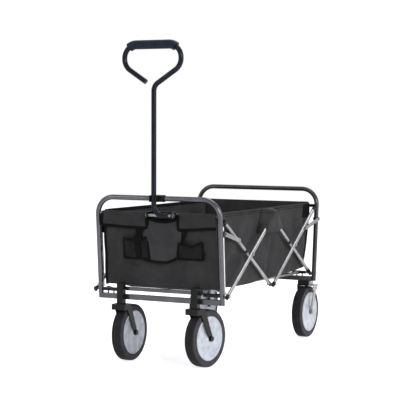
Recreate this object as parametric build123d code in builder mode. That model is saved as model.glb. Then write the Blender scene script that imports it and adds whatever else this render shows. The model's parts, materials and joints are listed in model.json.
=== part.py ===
from build123d import *
import os
from math import acos, atan2, cos, degrees, hypot, radians, sin, sqrt, tan

os.makedirs("parts", exist_ok=True)

# A folding hand cart: two upright hoops on four wheels, joined by crossed bars along each side,
# a fabric basket between them and a pull handle at the front.
# X runs across the cart, -Y is the front, Z is up, and the floor is at Z = 0.

# wheels
wheel_radius = 90.0
wheel_width = 36.0
disc_radius = 69.0
tread_shoulder = 7.0
disc_recess = 2.5
disc_lip = 4.0
boss_radius = 17.0
boss_reach = 1.5
axle_radius = 5.0
axle_head_radius = 8.0
axle_head_height = 4.0
running_fit = 0.08

# hoops of round tube, open at the bottom and leaning slightly outward
tube_radius = 8.0
leg_spacing = 720.0
front_half_width = 213.0
hoop_bottom = 200.0
hoop_top = 523.0
hoop_bend = 56.0
front_lean = 4.0
rear_lean = 5.0

# cross tubes between the hoop legs
lower_tube_size = 16.0
upper_tube_size = 11.0
upper_tube_gap = 12.5

# casters and fixed forks
stem_side = 22.0
stem_corner = 2.0
stem_overhang = 10.0
stem_length = 62.0
stem_half_spacing = 130.0
caster_pin_radius = 6.0
caster_trail = 54.0
caster_rest_turn = {"left": 0.0, "right": -9.0}
washer_radius = 15.0
washer_height = 2.5
washer_gap = 0.5
fork_plate = 3.5
fork_skirt = 18.0
fork_blade = 3.0
fork_side_gap = 2.5
fork_width = 40.0
blade_top_width = 20.0
blade_end_radius = 8.5
rear_wheel_half_spacing = 200.0
rear_neck_depth = 30.0
rear_splay = 9.0
rear_splay_gap = 1.5

# crossed side bars
bar_radius = 5.5
cap_radius = 6.3
knob_length = 12.0
foot_sleeve_length = 38.0
middle_sleeve_length = 12.0
middle_sleeve_start = 14.0
cap_end_wall = 1.5
cap_leg_gap = 1.0
bar_end_overhang = 7.5
pivot_rise = 29.0
scissor_rise = 229.0
folded_spacing = 160.0
head_gap = 0.2
free_end_setback = 9.5
pivot_pin_radius = 2.6
rivet_head_radius = 5.5
rivet_head_height = 1.4
bolt_head_height = 3.0

# flat links between the hoop legs and the bars
link_thickness = 2.0
link_width = 13.0
link_gap = 1.0
link_pivot_rise = 190.0
front_link_setback = 2.0
link_boss_radius = 5.0
sleeve_wall = 2.5
sleeve_height = 18.0
collar_reach = 7.0
collar_skin = 0.6
rod_radius = 4.5
rod_setback = 14.5
rod_bottom_rise = 35.0
rod_collar_reach = 21.0
rod_foot_height = 7.0
stud_head_radius = 4.5
stud_head_height = 0.6

# floor bars, which swing up as the cart folds
floor_hinge_inset = 20.0
floor_bar_radius = 5.0
floor_eye_radius = 6.5
floor_eye_width = 10.0
front_eye_inset = 15.0
rear_eye_inset = 35.0
floor_pin_radius = 3.0
floor_pin_reach = 2.5
hub_half_width = 18.0
hub_half_length = 15.0
hub_height = 8.0
brace_start = 40.0
brace_tip_half_spacing = 11.0
front_tip_inset = 28.0
rear_tip_inset = 48.0
rear_tip_setback = 4.0
front_cross_bar_setback = 112.0
bracket_inset = 61.0
bracket_end_gap = 0.6
bracket_depth = 18.0
bracket_height = 9.0
bracket_pin_radius = 2.0
bracket_lug = 6.0
lug_gap = 1.0

# basket fabric
cloth = 3.0
basket_rise = 8.0
panel_clearance = 7.5
soft_gap = 0.3
tab_height = 14.0
tab_drop = 10.0
bracket_slot = 3.0
side_panel_gap = 7.0
side_panel_inset = 20.0
floor_cloth_inset = 16.0
floor_cloth_side_gap = 6.0
floor_split = 2.0
flap_bottom = 330.0
flap_half_width = 62.0
left_pocket_width = 90.0
right_pocket_width = 74.0
pocket_depth = 9.0
pocket_top = 400.0
pocket_bottom = 338.0
left_pocket_centre = -88.0
right_pocket_centre = 123.0
patch_top = 20.0
patch_bottom = 50.0
patch_top_half = 42.0
patch_bottom_half = 74.0
patch_cloth = 2.0

# pull handle
handle_ahead = 46.0
rail_drop = 51.0
handle_foot = 50.0
handle_foot_bend = 30.0
pole_bend = 30.0
loop_bend = 41.0
loop_slope = 33.0
loop_right = 93.0
loop_left = 102.0
loop_end_gap = 27.0
pole_length = 397.0
loop_rise = 125.5
grip_radius = 14.0
grip_wrap = 35.0
handle_pin_radius = 4.5
handle_pin_head_radius = 7.5
ear_left = -22.0
ear_right = 66.0
ear_thickness = 3.0
ear_height = 22.0
rail_radius = 6.0
rail_end_gap = 0.2
clip_left = -20.0
clip_right = 26.0
clip_height = 20.0
clip_wall = 3.0
clip_jaw = 3.5
clip_jaw_gap = 0.6
clip_reach = 1.0

# places worked out from the sizes above: the origin is midway between the foremost and rearmost points
front_reach = handle_ahead + grip_radius
rear_reach = wheel_radius
front_leg_y = -leg_spacing / 2 + (front_reach - rear_reach) / 2
rear_leg_y = front_leg_y + leg_spacing
mid_y = (front_leg_y + rear_leg_y) / 2

lower_tube_height = hoop_bottom + lower_tube_size / 2
upper_tube_height = hoop_bottom + lower_tube_size + upper_tube_gap + upper_tube_size / 2
panel_bottom = upper_tube_height + upper_tube_size / 2 + panel_clearance
pivot_height = hoop_bottom + pivot_rise
floor_hinge_height = pivot_height
stem_bottom = hoop_bottom - stem_overhang
stem_top = stem_bottom + stem_length
handle_pivot_height = hoop_top - rail_drop
basket_top = handle_pivot_height + basket_rise
loop_bend_height = handle_pivot_height + pole_length
grip_height = loop_bend_height + loop_rise

inner_bar_x = front_half_width + tube_radius - bar_radius
front_link_x = front_half_width + tube_radius + link_gap
outer_bar_x = front_link_x + link_thickness + link_gap + bar_radius
rear_half_width = inner_bar_x + cap_radius + cap_leg_gap + tube_radius
rear_link_x = rear_half_width + tube_radius + link_gap
side_cloth_x = inner_bar_x - cap_radius - side_panel_gap - cloth

quarter = leg_spacing / 4
bar_half = hypot(quarter, scissor_rise / 2)
bar_angle = degrees(atan2(scissor_rise / 2, quarter))
top_height = pivot_height + scissor_rise
stem_y = front_leg_y - lower_tube_size / 2 - stem_side / 2
wheel_face = wheel_width / 2
fork_inner = wheel_face + fork_side_gap
handle_y = front_leg_y - handle_ahead
sides = {"left": -1, "right": 1}
ends = {"front": -1, "rear": 1}
leg_y = {"front": front_leg_y, "rear": rear_leg_y}
half_width = {"front": front_half_width, "rear": rear_half_width}
lean = {"front": front_lean, "rear": rear_lean}
eye_half_spacing = {"front": front_half_width - front_eye_inset, "rear": front_half_width - rear_eye_inset}
tip_half_spacing = {"front": eye_half_spacing["front"] - front_tip_inset,
                    "rear": eye_half_spacing["rear"] - rear_tip_inset}


def leg_centre(end, height):
    """The leg's centreline at a height, which leans outward from the bottom."""
    return leg_y[end] + ends[end] * (height - hoop_bottom) * tan(radians(lean[end]))


def along(start, angle, distance):
    """A point in the side view, from a start point along an angle above the rearward direction."""
    return (start[0] + distance * cos(radians(angle)), start[1] + distance * sin(radians(angle)))


# side view pivots as (y, z)
pivot_a = (front_leg_y, pivot_height)
pivot_f = (rear_leg_y, pivot_height)
pivot_c = (mid_y, pivot_height)
pivot_e = (mid_y, top_height)
cross_front = (front_leg_y + quarter, pivot_height + scissor_rise / 2)
cross_rear = (rear_leg_y - quarter, pivot_height + scissor_rise / 2)
free_b = along(cross_front, 180 - bar_angle, bar_half - free_end_setback)
free_d = along(cross_rear, bar_angle, bar_half - free_end_setback)
link_g = (front_leg_y - front_link_setback, pivot_height + link_pivot_rise)
rear_link_g = (leg_centre("rear", pivot_height + link_pivot_rise), pivot_height + link_pivot_rise)


def link_on_bar(setback):
    """How far from its bar's end a link is pinned, so that it is as long folded as open.

    The setback is how far the link's own pivot lies outward of the bars' lower pivot.
    """
    folded_angle = degrees(acos(folded_spacing / (4 * bar_half)))
    drops = []
    turns = []
    for angle in (bar_angle, folded_angle):
        drop = link_pivot_rise - 2 * bar_half * sin(radians(angle))
        drops.append(drop)
        turns.append(setback * cos(radians(angle)) + drop * sin(radians(angle)))
    return (drops[0] ** 2 - drops[1] ** 2) / (2 * (turns[1] - turns[0]))


link_h = along((front_leg_y, top_height), -bar_angle, link_on_bar(front_link_setback))
rear_link_h = along((rear_leg_y, top_height), 180 + bar_angle, link_on_bar(rear_link_g[0] - rear_leg_y))


def save(piece, label):
    """Label a finished piece and write its STEP file."""
    piece.part.label = label
    export_step(piece.part, f"parts/{label}.step")


def rod_plane(start, end, x):
    """The plane whose normal runs from one side-view point to another, at a place across the cart."""
    return Plane(origin=(x, start[0], start[1]), z_dir=(0, end[0] - start[0], end[1] - start[1]),
                 x_dir=(1, 0, 0))


def within(frame, origin, x_dir, z_dir):
    """A plane given in another frame's own coordinates."""
    return Plane(frame.location * Plane(origin=origin, x_dir=x_dir, z_dir=z_dir).location)


def across(x, point):
    """The plane facing outward across the cart, centred on a side-view point."""
    return Plane(origin=(x, point[0], point[1]), x_dir=(0, 1, 0), z_dir=(1, 0, 0))


# the front bolts' inner heads stand between the brackets and the legs
front_inside = front_half_width - tube_radius - head_gap
bracket_inner = front_half_width - bracket_inset
bracket_outer = front_inside - rivet_head_height - bracket_end_gap

# hoops
for end in ends:
    half = half_width[end]
    hoop_plane = Plane(origin=(0, leg_y[end], hoop_bottom), x_dir=(1, 0, 0),
                       z_dir=(0, -1, ends[end] * tan(radians(lean[end]))))
    leg_length = (hoop_top - hoop_bottom) / cos(radians(lean[end]))
    with BuildPart() as hoop:
        with BuildLine(hoop_plane) as hoop_path:
            FilletPolyline((-half, 0), (-half, leg_length), (half, leg_length), (half, 0), radius=hoop_bend)
        with BuildSketch(hoop_path.line ^ 0):
            Circle(tube_radius)
        sweep()
        # the hoop stands on a level cut, flush with the underside of the lower tube
        split(bisect_by=Plane.XY.offset(hoop_bottom), keep=Keep.TOP)
        for side in sides.values():
            pivot = pivot_a if end == "front" else pivot_f
            with BuildSketch(across(side * half, pivot)):
                Circle(pivot_pin_radius + running_fit)
            extrude(amount=2 * tube_radius, both=True, mode=Mode.SUBTRACT)
            if end == "rear":
                with BuildSketch(across(side * half, rear_link_g)):
                    Circle(pivot_pin_radius + running_fit)
                extrude(amount=2 * tube_radius, both=True, mode=Mode.SUBTRACT)
    save(hoop, f"{end}_hoop")

    # the lower square tube is coped round the legs
    with BuildPart() as lower_tube:
        with Locations((0, leg_y[end], lower_tube_height)):
            Box(2 * half, lower_tube_size, lower_tube_size)
        for side in sides.values():
            with BuildSketch(Plane.XY.offset(hoop_bottom)):
                with Locations((side * half, leg_y[end])):
                    Circle(tube_radius + lower_tube_size * tan(radians(lean[end])))
            extrude(amount=lower_tube_size, mode=Mode.SUBTRACT)
    save(lower_tube, f"{end}_lower_tube")

    upper_y = leg_y[end] + ends[end] * (lower_tube_size - upper_tube_size) / 2
    with BuildPart() as upper_tube:
        with Locations((0, upper_y, upper_tube_height)):
            Box(2 * bracket_inner, upper_tube_size, upper_tube_size)
    save(upper_tube, f"{end}_upper_tube")

    # corner brackets, with the lugs that carry the floor bars
    bracket_base = floor_hinge_height - bracket_height / 2
    hinge_y = leg_y[end] - ends[end] * floor_hinge_inset
    with BuildPart() as brackets:
        for side in sides.values():
            with Locations((side * (bracket_inner + bracket_outer) / 2, leg_y[end], floor_hinge_height)):
                Box(bracket_outer - bracket_inner, bracket_depth, bracket_height)
            lug_x = side * (eye_half_spacing[end] - floor_eye_width / 2 - lug_gap - bracket_lug / 2)
            with Locations((lug_x, (leg_y[end] + hinge_y) / 2, floor_hinge_height)):
                Box(bracket_lug, floor_hinge_inset, bracket_height)
            with BuildSketch(across(lug_x, (hinge_y, floor_hinge_height))):
                Circle(bracket_height / 2)
            extrude(amount=bracket_lug / 2, both=True)
            with BuildSketch(across(lug_x, (hinge_y, floor_hinge_height))):
                Circle(floor_pin_radius)
            extrude(amount=side * (bracket_lug / 2 + lug_gap + floor_eye_width + floor_pin_reach))
            with BuildSketch(Plane.XY.offset(hoop_bottom + lower_tube_size)):
                for share in (0.3, 0.7):
                    pin_x = bracket_inner + share * (bracket_outer - bracket_inner)
                    with Locations((side * pin_x, leg_y[end])):
                        Circle(bracket_pin_radius)
            extrude(until=Until.NEXT)
    save(brackets, f"{end}_brackets")

# caster housings on the front of the cross tubes
with BuildPart() as stems:
    for side in sides.values():
        with BuildSketch(Plane.XY.offset(stem_bottom)):
            with Locations((side * stem_half_spacing, stem_y)):
                RectangleRounded(stem_side, stem_side, stem_corner)
                Circle(caster_pin_radius + running_fit, mode=Mode.SUBTRACT)
        extrude(amount=stem_top - stem_bottom - fork_plate)
        with BuildSketch(Plane.XY.offset(stem_top - fork_plate)):
            with Locations((side * stem_half_spacing, stem_y)):
                RectangleRounded(stem_side, stem_side, stem_corner)
        extrude(amount=fork_plate)
save(stems, "front_stems")


# caster forks that swivel in the housings, and the fixed rear forks under the lower tube
plate_top = stem_bottom - washer_height - washer_gap
swivels = {
    name: Plane(origin=(side * stem_half_spacing, stem_y, 0)).rotated((0, 0, caster_rest_turn[name]))
    for name, side in sides.items()
}
fixed_frames = {
    name: Plane(origin=(side * rear_wheel_half_spacing, rear_leg_y, 0)) for name, side in sides.items()
}


def make_fork(frame, trail, outer=0):
    """A fork in its frame: a hood, two blades with round ends, and the axle with its heads.

    Where an outer hand is given, that blade leans outward to a wider plate.
    """
    plate_edges = {}
    with BuildPart() as fork:
        for hand in (-1, 1):
            tilt = radians(rear_splay if hand == outer else 0.0)
            foot = fork_inner + (rear_splay_gap if hand == outer else 0.0)
            top = foot + (plate_top - wheel_radius) * tan(tilt)
            plate_edges[hand] = hand * (top + fork_blade)
            blade_length = (plate_top - wheel_radius) / cos(tilt)
            blade_plane = within(frame, (hand * foot, 0, wheel_radius), (0, 1, 0),
                                 (hand * cos(tilt), 0, -sin(tilt)))
            with BuildSketch(blade_plane):
                with Locations((trail and (fork_width - blade_top_width) / 2,
                                hand * (blade_length - fork_skirt / 2))):
                    Rectangle(blade_top_width, fork_skirt)
                with Locations((trail, 0)):
                    Circle(blade_end_radius)
                make_hull()
            extrude(amount=fork_blade)
            with BuildSketch(blade_plane):
                with Locations((0, hand * (blade_length - fork_skirt / 2))):
                    Rectangle(fork_width, fork_skirt)
            extrude(amount=fork_blade)
            with BuildSketch(within(frame, (0, trail, wheel_radius), (0, 1, 0), (hand, 0, 0))):
                Circle(axle_radius)
            extrude(amount=foot + fork_blade)
            with BuildSketch(within(frame, (hand * (foot + fork_blade / 2), trail, wheel_radius), (0, 1, 0),
                                    (hand, 0, 0))):
                Circle(axle_head_radius)
            extrude(amount=fork_blade / 2 + axle_head_height)
        plate_middle = (plate_edges[1] + plate_edges[-1]) / 2
        with BuildSketch(within(frame, (plate_middle, 0, plate_top - fork_plate), (1, 0, 0), (0, 0, 1))):
            Rectangle(plate_edges[1] - plate_edges[-1], fork_width)
        extrude(amount=fork_plate)
        if trail:
            with BuildSketch(within(frame, (plate_middle, (fork_blade - fork_width) / 2, plate_top), (1, 0, 0),
                                    (0, 0, -1))):
                Rectangle(plate_edges[1] - plate_edges[-1], fork_blade)
            extrude(amount=fork_skirt)
    return fork.part


for name in sides:
    top_face = within(swivels[name], (0, 0, plate_top), (1, 0, 0), (0, 0, 1))
    with BuildPart() as caster_fork:
        add(make_fork(swivels[name], caster_trail))
        with BuildSketch(top_face):
            Circle(washer_radius)
        extrude(amount=washer_height)
        with BuildSketch(top_face):
            Circle(caster_pin_radius)
        extrude(amount=stem_top - 2 * fork_plate - plate_top)
    save(caster_fork, f"caster_fork_{name}")

    with BuildPart() as rear_fork:
        add(make_fork(fixed_frames[name], 0.0, sides[name]))
        with BuildSketch(within(fixed_frames[name], (0, 0, plate_top), (1, 0, 0), (0, 0, 1))):
            Rectangle(2 * (fork_inner + fork_blade), rear_neck_depth)
        extrude(amount=hoop_bottom - plate_top)
    save(rear_fork, f"rear_fork_{name}")

# wheels: a rubber tyre on a moulded disc
for end, frames, trail in (("front", swivels, caster_trail), ("rear", fixed_frames, 0.0)):
    for name in sides:
        section = within(frames[name], (0, trail, wheel_radius), (1, 0, 0), (0, -1, 0))
        with BuildPart() as tyre:
            with BuildSketch(section) as profile:
                with Locations((0, (wheel_radius + disc_radius) / 2)):
                    Rectangle(wheel_width, wheel_radius - disc_radius)
                fillet(profile.vertices().group_by(Axis.Z)[-1], tread_shoulder)
            revolve(axis=Axis(section.origin, section.x_dir))
        save(tyre, f"{end}_tyre_{name}")

        with BuildPart() as disc:
            with BuildSketch(within(frames[name], (-wheel_face, trail, wheel_radius), (0, 1, 0), (1, 0, 0))):
                Circle(disc_radius)
            extrude(amount=wheel_width)
            for hand in (-1, 1):
                face = within(frames[name], (hand * wheel_face, trail, wheel_radius), (0, 1, 0), (hand, 0, 0))
                with BuildSketch(face):
                    Circle(disc_radius - disc_lip)
                    Circle(boss_radius, mode=Mode.SUBTRACT)
                extrude(amount=-disc_recess, mode=Mode.SUBTRACT)
                with BuildSketch(face):
                    Circle(boss_radius)
                extrude(amount=boss_reach)
            with BuildSketch(within(frames[name], (0, trail, wheel_radius), (0, 1, 0), (1, 0, 0))):
                Circle(axle_radius + running_fit)
            extrude(amount=wheel_width, both=True, mode=Mode.SUBTRACT)
        save(disc, f"{end}_disc_{name}")

# crossed bars: each is a rod from one end pivot to the other, with a plastic cap on both ends
layers = {"inner": inner_bar_x, "outer": outer_bar_x}
bars = {
    "front_rising": ("outer", pivot_a, pivot_e, (pivot_a, cross_front, pivot_e)),
    "front_falling": ("inner", free_b, pivot_c, (cross_front, pivot_c)),
    "rear_rising": ("outer", pivot_c, free_d, (pivot_c, cross_rear)),
    "rear_falling": ("inner", pivot_e, pivot_f, (pivot_e, cross_rear, pivot_f)),
}
# the inner bars also carry a short sleeve above their crossing, and one has a long sleeve at its foot
foot_sleeves = {"rear_falling": foot_sleeve_length}
middle_sleeves = {"front_falling": cross_front, "rear_falling": cross_rear}

for bar_name, (layer, start, finish, holes) in bars.items():
    angle = degrees(atan2(finish[1] - start[1], finish[0] - start[0]))
    tip_one = along(start, angle, -bar_end_overhang)
    tip_two = along(finish, angle, bar_end_overhang)
    length = hypot(tip_two[0] - tip_one[0], tip_two[1] - tip_one[1])
    for name, side in sides.items():
        x = side * layers[layer]
        with BuildPart() as bar:
            with BuildSketch(rod_plane(tip_one, tip_two, x)):
                Circle(bar_radius)
            extrude(amount=length)
            for hole in holes:
                with BuildSketch(across(x, hole)):
                    Circle(pivot_pin_radius + running_fit)
                extrude(amount=2 * bar_radius, both=True, mode=Mode.SUBTRACT)
        save(bar, f"{bar_name}_bar_{name}")
    with BuildPart() as caps:
        for side in sides.values():
            x = side * layers[layer]
            foot_length = foot_sleeves.get(bar_name, knob_length)
            for tip, other, cap_length in ((tip_one, tip_two, knob_length), (tip_two, tip_one, foot_length)):
                with BuildSketch(rod_plane(tip, other, x).offset(-cap_end_wall)):
                    Circle(cap_radius)
                extrude(amount=cap_length + cap_end_wall)
            if bar_name in middle_sleeves:
                sleeve_foot = along(middle_sleeves[bar_name], angle, -middle_sleeve_start)
                with BuildSketch(rod_plane(sleeve_foot, tip_one, x)):
                    Circle(cap_radius)
                extrude(amount=middle_sleeve_length)
            with BuildSketch(rod_plane(tip_one, tip_two, x)):
                Circle(bar_radius)
            extrude(amount=length, mode=Mode.SUBTRACT)
            for hole in holes:
                with BuildSketch(across(x, hole)):
                    Circle(pivot_pin_radius + running_fit)
                extrude(amount=2 * cap_radius, both=True, mode=Mode.SUBTRACT)
    save(caps, f"{bar_name}_caps")


# rivets where the bars cross and meet, and bolts through the hoops' legs
bar_span = (inner_bar_x - bar_radius - head_gap, outer_bar_x + bar_radius + head_gap)
cap_span = (inner_bar_x - cap_radius - head_gap, outer_bar_x + cap_radius + head_gap)
rear_outside = rear_half_width + tube_radius + head_gap
pins = {
    "front_cross_pins": ((cross_front, *bar_span), (pivot_e, *cap_span)),
    "rear_cross_pins": ((cross_rear, *bar_span),),
    "centre_pins": ((pivot_c, *cap_span),),
    "front_bolts": ((pivot_a, front_inside, cap_span[1]),),
    "rear_bolts": (
        (pivot_f, cap_span[0], rear_outside),
        (rear_link_g, rear_half_width - tube_radius - head_gap, rear_link_x + link_thickness + head_gap),
    ),
}
for pin_name, places in pins.items():
    with BuildPart() as pin:
        for side in sides.values():
            for point, inner, outer in places:
                with BuildSketch(across(side * inner, point)):
                    Circle(pivot_pin_radius)
                extrude(amount=side * (outer - inner))
                for head_x, outward in ((inner, -side), (outer, side)):
                    with BuildSketch(across(side * head_x, point)):
                        Circle(rivet_head_radius)
                    extrude(amount=outward * rivet_head_height)
    save(pin, pin_name)

# collars round the front legs carry the front links, each on a stud
collar_rise = link_g[1] - sleeve_height / 2
collar_front = leg_centre("front", link_g[1])
collar_back = link_g[0] + collar_reach
collar_inner = front_half_width - tube_radius - sleeve_wall
collar_outer = front_link_x - link_gap + collar_skin
with BuildPart() as collars:
    for side in sides.values():
        with BuildSketch(Plane.XY.offset(collar_rise)):
            with Locations((side * (collar_inner + collar_outer) / 2, (collar_front + collar_back) / 2)):
                Rectangle(collar_outer - collar_inner, collar_back - collar_front)
        extrude(amount=sleeve_height)
        leg_line = Plane(origin=(side * front_half_width, front_leg_y, hoop_bottom), x_dir=(1, 0, 0),
                         z_dir=(0, -tan(radians(front_lean)), 1))
        with BuildSketch(leg_line):
            Circle(tube_radius)
        extrude(amount=2 * link_pivot_rise, mode=Mode.SUBTRACT)
        with BuildSketch(leg_line):
            with Locations((0, rod_setback)):
                Circle(rod_radius)
        extrude(amount=2 * link_pivot_rise, mode=Mode.SUBTRACT)
        with BuildSketch(across(side * collar_outer, link_g)):
            Circle(pivot_pin_radius)
        extrude(amount=side * (front_link_x + link_thickness + head_gap - collar_outer))
        with BuildSketch(across(side * (front_link_x + link_thickness + head_gap), link_g)):
            Circle(stud_head_radius)
        extrude(amount=side * stud_head_height)
save(collars, "front_link_collars")

# slim rods behind the front legs, held by the collars and by a foot on each leg
rod_top_rise = pivot_rise + link_pivot_rise + rod_collar_reach
with BuildPart() as rods:
    for side in sides.values():
        rod_foot = (0, leg_centre("front", hoop_bottom + rod_bottom_rise) + rod_setback / 2)
        with BuildSketch(Plane.XY.offset(hoop_bottom + rod_bottom_rise)):
            with Locations((side * front_half_width, rod_foot[1])):
                Rectangle(2 * rod_radius, rod_setback)
        extrude(amount=rod_foot_height)
        leg_line = Plane(origin=(side * front_half_width, front_leg_y, hoop_bottom), x_dir=(1, 0, 0),
                         z_dir=(0, -tan(radians(front_lean)), 1))
        with BuildSketch(leg_line.offset(rod_bottom_rise)):
            with Locations((0, rod_setback)):
                Circle(rod_radius)
        extrude(amount=rod_top_rise - rod_bottom_rise)
        with BuildSketch(leg_line):
            Circle(tube_radius)
        extrude(amount=rod_top_rise, mode=Mode.SUBTRACT)
save(rods, "front_rods")

# flat links, each a slot shape with a boss that meets the bar at its far end
boss_faces = {
    "front": inner_bar_x + bar_radius + soft_gap,
    "rear": outer_bar_x + bar_radius + soft_gap,
}
links = {
    "front": (front_link_x, link_g, link_h),
    "rear": (rear_link_x, rear_link_g, rear_link_h),
}
for end, (x, pivot, far) in links.items():
    run = (far[0] - pivot[0], far[1] - pivot[1])
    with BuildPart() as link:
        for side in sides.values():
            with BuildSketch(across(side * x, pivot)):
                with Locations((run[0] / 2, run[1] / 2)):
                    SlotCenterToCenter(hypot(*run), link_width, rotation=degrees(atan2(run[1], run[0])))
                Circle(pivot_pin_radius + running_fit, mode=Mode.SUBTRACT)
            extrude(amount=side * link_thickness)
            with BuildSketch(across(side * x, far)):
                Circle(link_boss_radius)
            extrude(amount=-side * (x - boss_faces[end]))
    save(link, f"{end}_links")

# fabric patches that hang on the middle top pivots
patch_x = cap_span[1] + rivet_head_height + soft_gap
with BuildPart() as patches:
    for side in sides.values():
        with BuildSketch(across(side * patch_x, pivot_e)):
            Polygon((-patch_bottom_half, -patch_bottom), (patch_bottom_half, -patch_bottom),
                    (patch_top_half, patch_top), (-patch_top_half, patch_top), align=None)
        extrude(amount=side * patch_cloth)
save(patches, "top_patches")

# floor bars: a frame on each hinge line; the front one has its cross bar set back, with two braces that meet
# it in a plate, and the rear one is narrower, so the two pass through each other as they swing up
for end in ends:
    hinge_y = leg_y[end] - ends[end] * floor_hinge_inset
    front = end == "front"
    hinge_x = eye_half_spacing[end]
    tip_x = tip_half_spacing[end]
    tip_y = mid_y + (0 if front else rear_tip_setback)
    cross_bar_y = mid_y - front_cross_bar_setback if front else tip_y
    cross_bar_x = hinge_x + (cross_bar_y - hinge_y) / (tip_y - hinge_y) * (tip_x - hinge_x)
    brace_x = hinge_x - brace_start / (tip_y - hinge_y) * (hinge_x - tip_x)
    runs = [((hinge_x, hinge_y), (tip_x, tip_y))]
    if front:
        runs.append(((brace_x, hinge_y + brace_start), (brace_tip_half_spacing, cross_bar_y)))
    with BuildPart() as floor_bars:
        with BuildSketch(across(0, (cross_bar_y, floor_hinge_height))):
            Circle(floor_bar_radius)
        extrude(amount=cross_bar_x, both=True)
        if front:
            with Locations((0, cross_bar_y, floor_hinge_height)):
                Box(2 * hub_half_width, 2 * hub_half_length, hub_height)
        for side in sides.values():
            eye_x = side * hinge_x
            for start, finish in runs:
                run = Vector(side * (finish[0] - start[0]), finish[1] - start[1], 0)
                with BuildSketch(Plane(origin=(side * start[0], start[1], floor_hinge_height), z_dir=run,
                                       x_dir=(0, 0, 1))):
                    Circle(floor_bar_radius)
                extrude(amount=run.length)
            with BuildSketch(across(eye_x, (hinge_y, floor_hinge_height))):
                Circle(floor_eye_radius)
            extrude(amount=floor_eye_width / 2, both=True)
            with BuildSketch(across(eye_x, (hinge_y, floor_hinge_height))):
                Circle(floor_pin_radius + running_fit)
            extrude(amount=2 * floor_eye_width, both=True, mode=Mode.SUBTRACT)
    save(floor_bars, f"{end}_floor_bars")

    cloth_start = hinge_y - ends[end] * floor_cloth_inset
    cloth_end = mid_y + ends[end] * floor_split / 2
    with BuildPart() as floor_cloth:
        with Locations((0, (cloth_start + cloth_end) / 2,
                        floor_hinge_height + floor_bar_radius + soft_gap + cloth / 2)):
            Box(2 * (side_cloth_x - floor_cloth_side_gap), abs(cloth_end - cloth_start), cloth)
    save(floor_cloth, f"{end}_floor_cloth")

# cross rail between the front legs, which carries the handle bracket and the front panel's hem
rail_y = leg_centre("front", handle_pivot_height)
rail = (rail_y, handle_pivot_height)
# the hoop's bend has begun at the rail's top, so the rail ends short by how far the leg has come in there
bend_rise = handle_pivot_height + rail_radius - (hoop_top - hoop_bend)
rail_shortening = hoop_bend - sqrt(hoop_bend ** 2 - bend_rise ** 2)
with BuildPart() as handle_rail:
    with BuildSketch(across(0, rail)):
        Circle(rail_radius)
    extrude(amount=front_half_width - tube_radius - rail_shortening - rail_end_gap, both=True)
save(handle_rail, "handle_rail")

# end panels in the planes of the hoops
for end in ends:
    front = end == "front"
    panel_half = side_cloth_x + cloth
    panel_top = handle_pivot_height - rail_radius if front else basket_top
    foot = leg_centre(end, panel_bottom)
    head = leg_centre(end, panel_top)
    with BuildPart() as panel:
        with BuildSketch(across(0, (0, 0))):
            Polygon((foot - cloth / 2, panel_bottom), (foot + cloth / 2, panel_bottom),
                    (head + cloth / 2, panel_top), (head - cloth / 2, panel_top), align=None)
            if front:
                with Locations(rail):
                    Circle(rail_radius + soft_gap + cloth)
        extrude(amount=panel_half, both=True)
        if front:
            with BuildSketch(across(0, rail)):
                Circle(rail_radius + soft_gap)
            extrude(amount=2 * panel_half, both=True, mode=Mode.SUBTRACT)
            with Locations(((ear_left + ear_right) / 2, rail_y - rail_radius - cloth, handle_pivot_height)):
                Box(ear_right - ear_left + 2 * bracket_slot, 2 * (cloth + soft_gap + 1), ear_height + bracket_slot,
                    mode=Mode.SUBTRACT)
        else:
            tab_middle = panel_top - tab_drop - tab_height / 2
            tab_outer = rear_half_width - tube_radius - soft_gap
            for side in sides.values():
                with Locations((side * (panel_half + tab_outer) / 2, leg_centre(end, tab_middle), tab_middle)):
                    Box(tab_outer - panel_half, cloth, tab_height)
    save(panel, f"{end}_panel")

# flap and pockets on the face of the front panel
flap_top = handle_pivot_height - ear_height / 2 - bracket_slot
with BuildPart() as pockets:
    for centre, half, top, bottom, depth in (
        ((ear_left + ear_right) / 2, flap_half_width, flap_top, flap_bottom, cloth),
        (left_pocket_centre, left_pocket_width / 2, pocket_top, pocket_bottom, pocket_depth),
        (right_pocket_centre, right_pocket_width / 2, pocket_top, pocket_bottom, pocket_depth),
    ):
        back_low = leg_centre("front", bottom) - cloth / 2 - soft_gap
        back_high = leg_centre("front", top) - cloth / 2 - soft_gap
        with BuildSketch(across(centre, (0, 0))):
            Polygon((back_low, bottom), (back_high, top), (back_high - depth, top), (back_low - depth, bottom),
                    align=None)
        extrude(amount=half, both=True)
save(pockets, "front_pockets")

# side panels, between the end panels and inside the bars
side_front = rail_radius + cloth + 2 * soft_gap
side_rear = cloth / 2 + soft_gap
for name, side in sides.items():
    with BuildPart() as side_panel:
        with BuildSketch(across(side * side_cloth_x, (0, 0))):
            Polygon(
                (leg_centre("front", panel_bottom) + side_front, panel_bottom),
                (leg_centre("front", basket_top) + side_front, basket_top),
                (leg_centre("rear", basket_top) - side_rear, basket_top),
                (leg_centre("rear", panel_bottom) - side_panel_inset, panel_bottom),
                align=None,
            )
        extrude(amount=side * cloth)
    save(side_panel, f"side_panel_{name}")

# handle bracket: a channel on the rail with a round ear at each end, and the pivot bolt
with BuildPart() as handle_bracket:
    channel_back = rail_y - rail_radius
    with Locations(((ear_left + ear_right) / 2, channel_back - ear_thickness / 2, handle_pivot_height)):
        Box(ear_right - ear_left, ear_thickness, ear_height)
    for ear_x, inward in ((ear_left, 1), (ear_right, -1)):
        with BuildSketch(across(ear_x, (handle_y, handle_pivot_height))):
            with Locations(((channel_back - handle_y) / 2, 0)):
                Rectangle(channel_back - handle_y, ear_height)
            Circle(ear_height / 2)
            Circle(handle_pin_radius + running_fit, mode=Mode.SUBTRACT)
        extrude(amount=inward * ear_thickness)
save(handle_bracket, "handle_bracket")

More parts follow.
